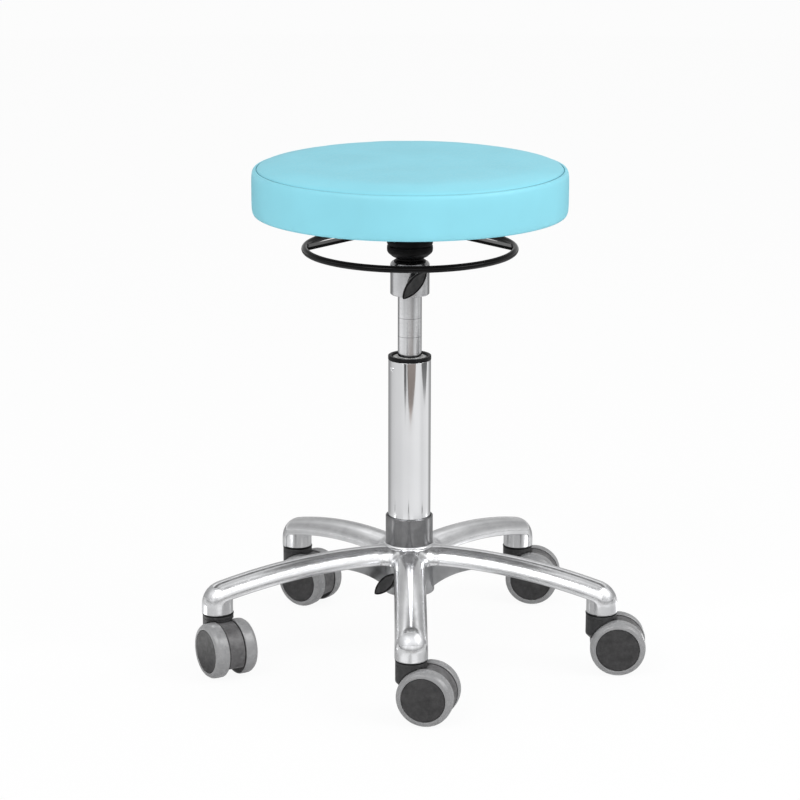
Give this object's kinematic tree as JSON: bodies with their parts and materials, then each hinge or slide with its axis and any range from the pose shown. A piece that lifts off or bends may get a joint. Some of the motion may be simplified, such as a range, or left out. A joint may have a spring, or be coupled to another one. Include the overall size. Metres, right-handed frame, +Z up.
{
  "type": "work stool",
  "caption": "Height-adjustable work stool with a round padded seat, a ring release lever, a gas spring in a chromed column and a polished star base on twin-wheel castors.",
  "frame": {"origin": "on the floor, on the axis of the column", "axes": "+Z up along the column; -Y along the arm that points to the front of the picture; +X to the right"},
  "size_m": [0.5291, 0.4921, 0.5889],
  "materials": {
    "polished_aluminium": "polished die casting",
    "turned_aluminium": "turned, bright",
    "chrome": "bright chromium plate",
    "steel": "plain zinc plate",
    "black_steel": "gloss black coating",
    "black_plastic": "smooth black",
    "dark_grey_plastic": "fine satin grain",
    "bush_plastic": "plain",
    "black_rubber": "matte",
    "grey_tyre": "soft satin",
    "brass": "plain",
    "plywood": "raw birch plywood",
    "foam": "open-cell upholstery foam",
    "turquoise_vinyl": "smooth coated upholstery fabric, satin"
  },
  "bodies": {
    "base": {"star_base": "polished_aluminium", "hub_collar": "dark_grey_plastic", "column_tube": "chrome", "column_cap": "black_plastic", "guide_bush": "bush_plastic", "bottom_plate": "steel", "bearing_lower_race": "steel", "caster_stems": "steel", "caster_washers": "black_plastic"},
    "gas_rod": {"piston_rod": "chrome", "piston": "black_rubber", "rod_clip": "steel", "thrust_bearing": "steel", "rubber_buffer": "black_rubber"},
    "seat_post": {"pressure_tube": "chrome", "rod_gland": "black_plastic", "taper_collar": "turned_aluminium", "lever_housing": "black_plastic", "plate_screws": "steel", "seat_plate": "steel", "seat_board": "plywood", "seat_foam": "foam", "seat_cover": "turquoise_vinyl"},
    "release": {"release_pin": "chrome"},
    "lever": {"ring_lever": "black_steel", "lever_disc": "black_steel"},
    "upper_pad": {"upper_pressure_pad": "brass"},
    "upper_screw": {"upper_wing_screw": "black_plastic"},
    "lower_pad": {"lower_pressure_pad": "brass"},
    "lower_screw": {"lower_wing_screw": "black_plastic"},
    "caster_front": {"hood_front": "dark_grey_plastic", "axle_front": "steel"},
    "wheel_front_a": {"disc_front_a": "dark_grey_plastic", "tyre_front_a": "grey_tyre"},
    "wheel_front_b": {"disc_front_b": "dark_grey_plastic", "tyre_front_b": "grey_tyre"},
    "caster_right": {"hood_right": "dark_grey_plastic", "axle_right": "steel"},
    "wheel_right_a": {"disc_right_a": "dark_grey_plastic", "tyre_right_a": "grey_tyre"},
    "wheel_right_b": {"disc_right_b": "dark_grey_plastic", "tyre_right_b": "grey_tyre"},
    "caster_back_right": {"hood_back_right": "dark_grey_plastic", "axle_back_right": "steel"},
    "wheel_back_right_a": {"disc_back_right_a": "dark_grey_plastic", "tyre_back_right_a": "grey_tyre"},
    "wheel_back_right_b": {"disc_back_right_b": "dark_grey_plastic", "tyre_back_right_b": "grey_tyre"},
    "caster_back_left": {"hood_back_left": "dark_grey_plastic", "axle_back_left": "steel"},
    "wheel_back_left_a": {"disc_back_left_a": "dark_grey_plastic", "tyre_back_left_a": "grey_tyre"},
    "wheel_back_left_b": {"disc_back_left_b": "dark_grey_plastic", "tyre_back_left_b": "grey_tyre"},
    "caster_left": {"hood_left": "dark_grey_plastic", "axle_left": "steel"},
    "wheel_left_a": {"disc_left_a": "dark_grey_plastic", "tyre_left_a": "grey_tyre"},
    "wheel_left_b": {"disc_left_b": "dark_grey_plastic", "tyre_left_b": "grey_tyre"}
  },
  "joints": [
    {"name": "seat_swivel", "type": "hinge", "parent": "base", "child": "gas_rod", "pos_m": [0, 0, 0.08391], "axis": [0, 0, 1], "continuous": true},
    {"name": "seat_height", "type": "slide", "parent": "gas_rod", "child": "seat_post", "axis": [0, 0, 1], "range_m": [-0.06, 0.07]},
    {"name": "ring_tilt", "type": "hinge", "parent": "seat_post", "child": "lever", "pos_m": [0, 0.0217, 0.51741], "axis": [1, 0, 0], "range_deg": [0, 7], "stiffness_Nm_per_rad": 8, "springref_deg": -3.44},
    {"name": "release_slide", "type": "slide", "parent": "seat_post", "child": "release", "axis": [0, 0, 1], "range_m": [-0.003, 0]},
    {"name": "upper_pad_slide", "type": "slide", "parent": "seat_post", "child": "upper_pad", "axis": [0.1392, -0.9903, 0], "range_m": [0, 0.0013]},
    {"name": "upper_screw_turn", "type": "hinge", "parent": "upper_pad", "child": "upper_screw", "pos_m": [0, 0, 0.45411], "axis": [0.1392, -0.9903, 0], "range_deg": [0, 360]},
    {"name": "lower_pad_slide", "type": "slide", "parent": "base", "child": "lower_pad", "axis": [-0.5878, -0.809, 0], "range_m": [0, 0.0013]},
    {"name": "lower_screw_turn", "type": "hinge", "parent": "lower_pad", "child": "lower_screw", "pos_m": [0, 0, 0.09391], "axis": [-0.5878, -0.809, 0], "range_deg": [0, 360]},
    {"name": "swivel_front", "type": "hinge", "parent": "base", "child": "caster_front", "pos_m": [0, -0.2357, 0.0694], "axis": [0, 0, 1], "continuous": true},
    {"name": "roll_front_a", "type": "hinge", "parent": "caster_front", "child": "wheel_front_a", "pos_m": [0.01932, -0.24088, 0.0325], "axis": [0.2588, 0.9659, 0], "continuous": true},
    {"name": "roll_front_b", "type": "hinge", "parent": "caster_front", "child": "wheel_front_b", "pos_m": [0.01932, -0.24088, 0.0325], "axis": [0.2588, 0.9659, 0], "continuous": true},
    {"name": "swivel_right", "type": "hinge", "parent": "base", "child": "caster_right", "pos_m": [0.22416, -0.07283, 0.0694], "axis": [0, 0, 1], "continuous": true},
    {"name": "roll_right_a", "type": "hinge", "parent": "caster_right", "child": "wheel_right_a", "pos_m": [0.24411, -0.07423, 0.0325], "axis": [0.0698, 0.9976, 0], "continuous": true},
    {"name": "roll_right_b", "type": "hinge", "parent": "caster_right", "child": "wheel_right_b", "pos_m": [0.24411, -0.07423, 0.0325], "axis": [0.0698, 0.9976, 0], "continuous": true},
    {"name": "swivel_back_right", "type": "hinge", "parent": "base", "child": "caster_back_right", "pos_m": [0.13854, 0.19068, 0.0694], "axis": [0, 0, 1], "continuous": true},
    {"name": "roll_back_right_a", "type": "hinge", "parent": "caster_back_right", "child": "wheel_back_right_a", "pos_m": [0.15829, 0.18756, 0.0325], "axis": [0.1564, 0.9877, 0], "continuous": true},
    {"name": "roll_back_right_b", "type": "hinge", "parent": "caster_back_right", "child": "wheel_back_right_b", "pos_m": [0.15829, 0.18756, 0.0325], "axis": [0.1564, 0.9877, 0], "continuous": true},
    {"name": "swivel_back_left", "type": "hinge", "parent": "base", "child": "caster_back_left", "pos_m": [-0.13854, 0.19068, 0.0694], "axis": [0, 0, 1], "continuous": true},
    {"name": "roll_back_left_a", "type": "hinge", "parent": "caster_back_left", "child": "wheel_back_left_a", "pos_m": [-0.12236, 0.17893, 0.0325], "axis": [0.5878, 0.809, 0], "continuous": true},
    {"name": "roll_back_left_b", "type": "hinge", "parent": "caster_back_left", "child": "wheel_back_left_b", "pos_m": [-0.12236, 0.17893, 0.0325], "axis": [0.5878, 0.809, 0], "continuous": true},
    {"name": "swivel_left", "type": "hinge", "parent": "base", "child": "caster_left", "pos_m": [-0.22416, -0.07283, 0.0694], "axis": [0, 0, 1], "continuous": true},
    {"name": "roll_left_a", "type": "hinge", "parent": "caster_left", "child": "wheel_left_a", "pos_m": [-0.21416, -0.09016, 0.0325], "axis": [0.866, 0.5, 0], "continuous": true},
    {"name": "roll_left_b", "type": "hinge", "parent": "caster_left", "child": "wheel_left_b", "pos_m": [-0.21416, -0.09016, 0.0325], "axis": [0.866, 0.5, 0], "continuous": true}
  ],
  "couplings": [
    {"joint": "release_slide", "follows": "ring_tilt", "m_per_rad": -0.0243},
    {"joint": "upper_pad_slide", "follows": "upper_screw_turn", "m_per_rad": 0.00019894},
    {"joint": "lower_pad_slide", "follows": "lower_screw_turn", "m_per_rad": 0.00019894}
  ]
}
